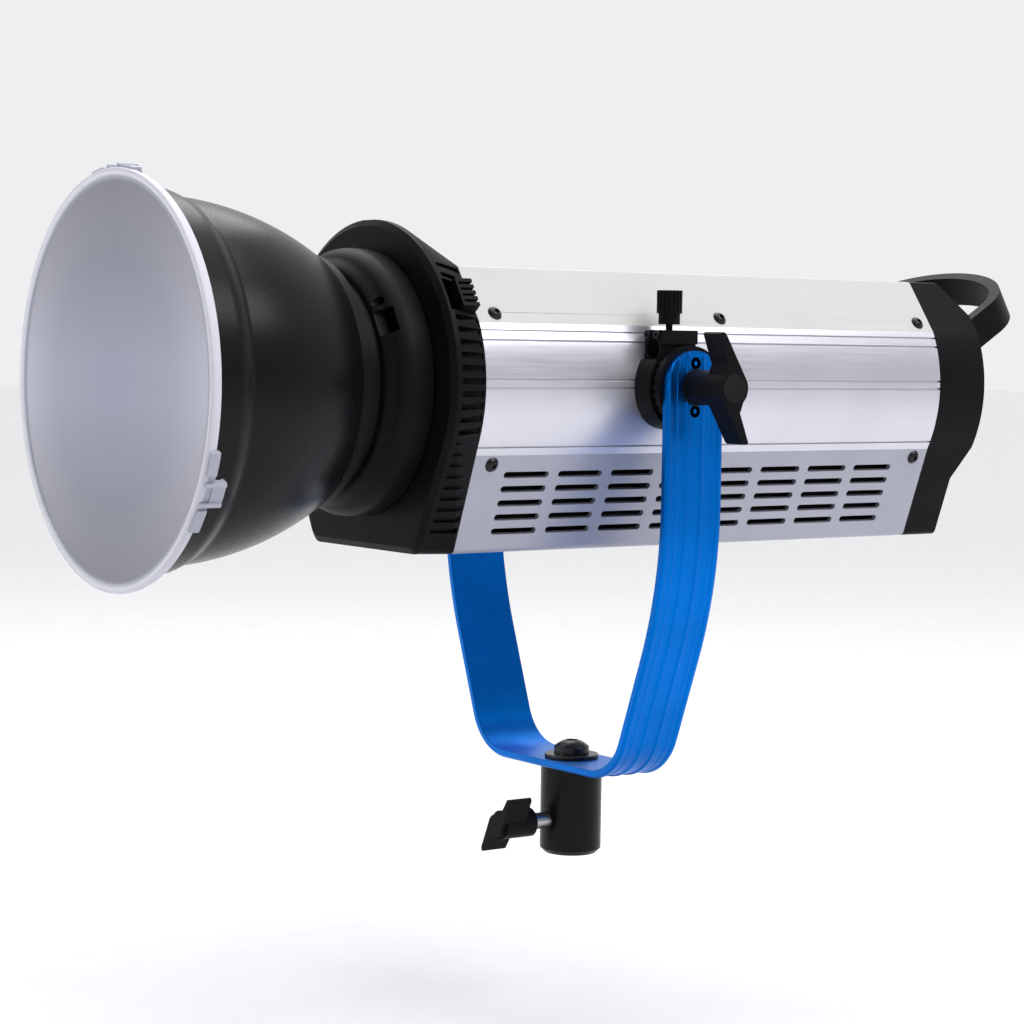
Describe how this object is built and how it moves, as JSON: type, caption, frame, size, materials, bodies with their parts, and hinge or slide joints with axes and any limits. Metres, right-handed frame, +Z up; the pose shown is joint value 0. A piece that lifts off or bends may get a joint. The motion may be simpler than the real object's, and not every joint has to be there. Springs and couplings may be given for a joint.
{
  "type": "studio led monolight with yoke",
  "caption": "Studio monolight: ribbed housing, twist-on bowl reflector with clip-on frosted cover, tilting yoke, stand socket, umbrella holder and carry handle.",
  "frame": {"origin": "centre of the mouth of the stand socket, under the yoke", "axes": "+Z up, light leaves towards -Y, the tilt axis runs along X, +X is the side with the tilt lever and umbrella holder"},
  "size_m": [0.2138, 0.5134, 0.3233],
  "materials": {
    "blue_anodised": "satin anodised",
    "black_cast": "fine matt black powder coat",
    "black_paint": "satin black powder coat",
    "black_plastic": "fine matt",
    "silver_anodised": "satin grained",
    "cream_paint": "satin",
    "grey_paint": "satin",
    "steel": "plain",
    "black_steel": "black oxide",
    "frosted": "frosted translucent",
    "clear_glass": "polished",
    "bare_aluminium": "milled",
    "copper": "bare",
    "phosphor": "matt",
    "board": "solder resist",
    "parts": "matt",
    "dark_window": "polished",
    "red_plastic": "gloss",
    "grey_plastic": "matt"
  },
  "bodies": {
    "stand": {"yoke": "blue_anodised", "yoke_screws": "black_steel", "yoke_rosette": "black_cast", "far_pivot_ring": "black_cast", "stand_socket": "black_paint", "socket_bolt": "black_steel", "socket_washer": "black_steel", "lever_washer": "black_steel"},
    "head": {"umbrella_bracket": "black_cast", "bracket_screws": "black_steel", "far_pivot_boss": "black_cast", "axle_near": "steel", "axle_far": "black_steel", "pivot_plates": "steel", "side_near": "silver_anodised", "side_far": "silver_anodised", "top_cover": "cream_paint", "bottom_cover": "grey_paint", "shell_screws": "black_steel", "front_bezel": "black_plastic", "bayonet_ring": "bare_aluminium", "ring_screws": "black_steel", "led_mount": "black_cast", "led_board": "bare_aluminium", "led_emitter": "phosphor", "led_glass": "clear_glass", "heat_sink": "bare_aluminium", "heat_pipes": "copper", "fan_frame": "black_plastic", "driver_board": "board", "driver_parts": "parts", "chassis_tray": "bare_aluminium", "rear_cover": "black_plastic", "rear_screws": "black_steel", "rear_panel": "black_plastic", "panel_screws": "black_steel", "display_window": "dark_window", "control_board": "board", "rocker_frame": "black_plastic", "power_inlet": "black_plastic", "fuse_cap": "black_plastic", "carry_handle": "black_plastic", "handle_bolts": "steel"},
    "clamp": {"clamp_wing": "black_plastic", "clamp_stud": "steel"},
    "lever": {"tilt_lever": "black_plastic", "tilt_lever_cap": "grey_plastic"},
    "thumbscrew": {"umbrella_thumbscrew": "black_cast"},
    "latch": {"latch_button": "black_plastic", "latch_pin": "steel"},
    "fan": {"fan_rotor": "grey_plastic"},
    "dimmer": {"dimmer_knob": "black_plastic"},
    "group_key": {"button_group": "grey_plastic"},
    "channel_key": {"button_channel": "grey_plastic"},
    "fan_key": {"button_fan": "grey_plastic"},
    "rocker": {"power_rocker": "red_plastic"},
    "reflector": {"reflector_bowl": "black_paint", "reflector_mount": "black_cast"},
    "cover": {"frosted_cover": "frosted"}
  },
  "joints": [
    {"name": "head_tilt", "type": "hinge", "parent": "stand", "child": "head", "pos_m": [0, 0, 0.23], "axis": [1, 0, 0], "range_deg": [-50, 50]},
    {"name": "tilt_lever_turn", "type": "hinge", "parent": "stand", "child": "lever", "pos_m": [0.105, 0, 0.23], "axis": [1, 0, 0], "range_deg": [0, 360]},
    {"name": "clamp_turn", "type": "hinge", "parent": "stand", "child": "clamp", "pos_m": [0, -0.035, 0.017], "axis": [0, 1, 0], "continuous": true},
    {"name": "thumbscrew_turn", "type": "hinge", "parent": "head", "child": "thumbscrew", "pos_m": [0.0752, -0.0042, 0.26], "axis": [0, 0, 1], "continuous": true},
    {"name": "latch_slide", "type": "slide", "parent": "head", "child": "latch", "axis": [0, -1, 0], "range_m": [0, 0.005], "stiffness_N_per_m": 400, "springref_m": -0.004},
    {"name": "reflector_twist", "type": "hinge", "parent": "head", "child": "reflector", "pos_m": [0, -0.122, 0.23], "axis": [0, 1, 0], "range_deg": [0, 31]},
    {"name": "cover_pull", "type": "slide", "parent": "reflector", "child": "cover", "axis": [0, -1, 0], "range_m": [0, 0.06]},
    {"name": "fan_spin", "type": "hinge", "parent": "head", "child": "fan", "pos_m": [0, -0.01, 0.23], "axis": [0, 1, 0], "continuous": true},
    {"name": "dimmer_turn", "type": "hinge", "parent": "head", "child": "dimmer", "pos_m": [0.024, 0.2, 0.25], "axis": [0, 1, 0], "continuous": true},
    {"name": "group_press", "type": "slide", "parent": "head", "child": "group_key", "axis": [0, -1, 0], "range_m": [0, 0.001], "stiffness_N_per_m": 300, "springref_m": -0.001},
    {"name": "channel_press", "type": "slide", "parent": "head", "child": "channel_key", "axis": [0, -1, 0], "range_m": [0, 0.001], "stiffness_N_per_m": 300, "springref_m": -0.001},
    {"name": "fan_press", "type": "slide", "parent": "head", "child": "fan_key", "axis": [0, -1, 0], "range_m": [0, 0.001], "stiffness_N_per_m": 300, "springref_m": -0.001},
    {"name": "rocker_flip", "type": "hinge", "parent": "head", "child": "rocker", "pos_m": [0.027, 0.2045, 0.202], "axis": [0, 0, 1], "range_deg": [-20, 0]}
  ]
}
